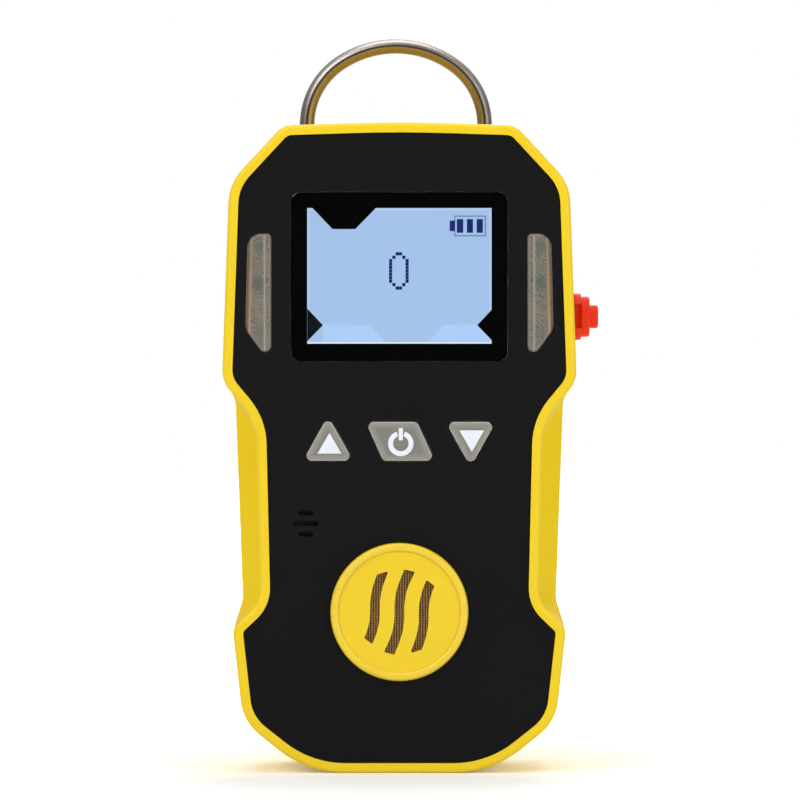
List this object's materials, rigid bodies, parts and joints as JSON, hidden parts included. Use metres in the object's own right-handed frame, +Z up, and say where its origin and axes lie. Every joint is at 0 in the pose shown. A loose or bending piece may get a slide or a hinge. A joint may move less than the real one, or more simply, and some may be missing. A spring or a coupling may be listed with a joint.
{
  "type": "portable gas detector",
  "caption": "Hand-held gas detector: waisted yellow case, black face with display and keys, round slotted sensor cap, wire bail, sprung belt clip and rubber port plug.",
  "frame": {"origin": "middle of the bottom rest face, on the case's mid plane", "axes": "+Z up along the case, the display and keys face -Y, +X to the right seen from the front"},
  "size_m": [0.0728, 0.0435, 0.1431],
  "materials": {
    "case_yellow": "satin moulded yellow",
    "face_black": "fine satin black",
    "lens_black": "polished, black printed border",
    "lcd_blue": "pale blue lit display",
    "white_plastic": "moulded white",
    "window_smoke": "translucent frosted",
    "key_grey": "translucent silicone",
    "mat_grey": "silicone",
    "steel": "brushed",
    "bail_steel": "polished wire",
    "brass": "turned",
    "board_green": "solder mask",
    "chip_black": "moulded epoxy",
    "screen_bronze": "woven mesh",
    "seal_black": "matt",
    "plug_red": "matt red",
    "battery_blue": "shrink sleeve",
    "cell_white": "moulded",
    "foam_grey": "closed-cell foam"
  },
  "bodies": {
    "case": {"yellow_jacket": "case_yellow", "front_cover": "face_black", "display_lens": "lens_black", "lcd_panel": "lcd_blue", "backlight_panel": "white_plastic", "display_holder": "white_plastic", "alarm_window_left": "window_smoke", "alarm_window_right": "window_smoke", "keypad_mat": "mat_grey", "tact_switches": "steel", "buzzer": "chip_black", "buzzer_membrane": "seal_black", "sensor_cap": "case_yellow", "sensor_screen": "screen_bronze", "sensor_gasket": "seal_black", "gas_sensor": "cell_white", "sensor_holder": "chip_black", "sensor_board": "board_green", "main_board": "board_green", "board_chips": "chip_black", "alarm_leds": "white_plastic", "board_links": "chip_black", "board_screws": "steel", "sensor_board_screws": "steel", "battery_cell": "battery_blue", "battery_pad": "foam_grey", "charge_jack": "chip_black", "vibration_motor": "steel", "motor_strap": "steel", "rear_cover": "case_yellow", "case_seal": "seal_black", "threaded_inserts": "brass", "case_screws": "steel", "bail_bushings": "brass", "clip_base": "steel", "clip_pin": "steel", "clip_screws": "steel", "clip_spring": "steel"},
    "key_up": {"button_up": "key_grey"},
    "key_power": {"button_power": "key_grey"},
    "key_down": {"button_down": "key_grey"},
    "bail_body": {"bail": "bail_steel"},
    "clip_body": {"clip_lever": "steel"},
    "plug_body": {"port_plug": "plug_red"},
    "weight_body": {"motor_weight": "brass"}
  },
  "joints": [
    {"name": "press_up", "type": "slide", "parent": "case", "child": "key_up", "axis": [0, 1, 0], "range_m": [0, 0.0005], "stiffness_N_per_m": 200, "springref_m": -0.0006},
    {"name": "press_power", "type": "slide", "parent": "case", "child": "key_power", "axis": [0, 1, 0], "range_m": [0, 0.0005], "stiffness_N_per_m": 200, "springref_m": -0.0006},
    {"name": "press_down", "type": "slide", "parent": "case", "child": "key_down", "axis": [0, 1, 0], "range_m": [0, 0.0005], "stiffness_N_per_m": 200, "springref_m": -0.0006},
    {"name": "bail_swing", "type": "hinge", "parent": "case", "child": "bail_body", "pos_m": [0, 0.009, 0.118], "axis": [1, 0, 0], "range_deg": [-90, 0]},
    {"name": "clip_open", "type": "hinge", "parent": "case", "child": "clip_body", "pos_m": [0, 0.0204, 0.092], "axis": [1, 0, 0], "range_deg": [0, 30], "stiffness_Nm_per_rad": 0.03, "springref_deg": -20.05, "deforming": ["clip_spring"]},
    {"name": "plug_pull", "type": "slide", "parent": "case", "child": "plug_body", "axis": [1, 0, 0], "range_m": [0, 0.012]},
    {"name": "motor_spin", "type": "hinge", "parent": "case", "child": "weight_body", "pos_m": [0, -0.0093, 0.116], "axis": [1, 0, 0], "continuous": true}
  ]
}
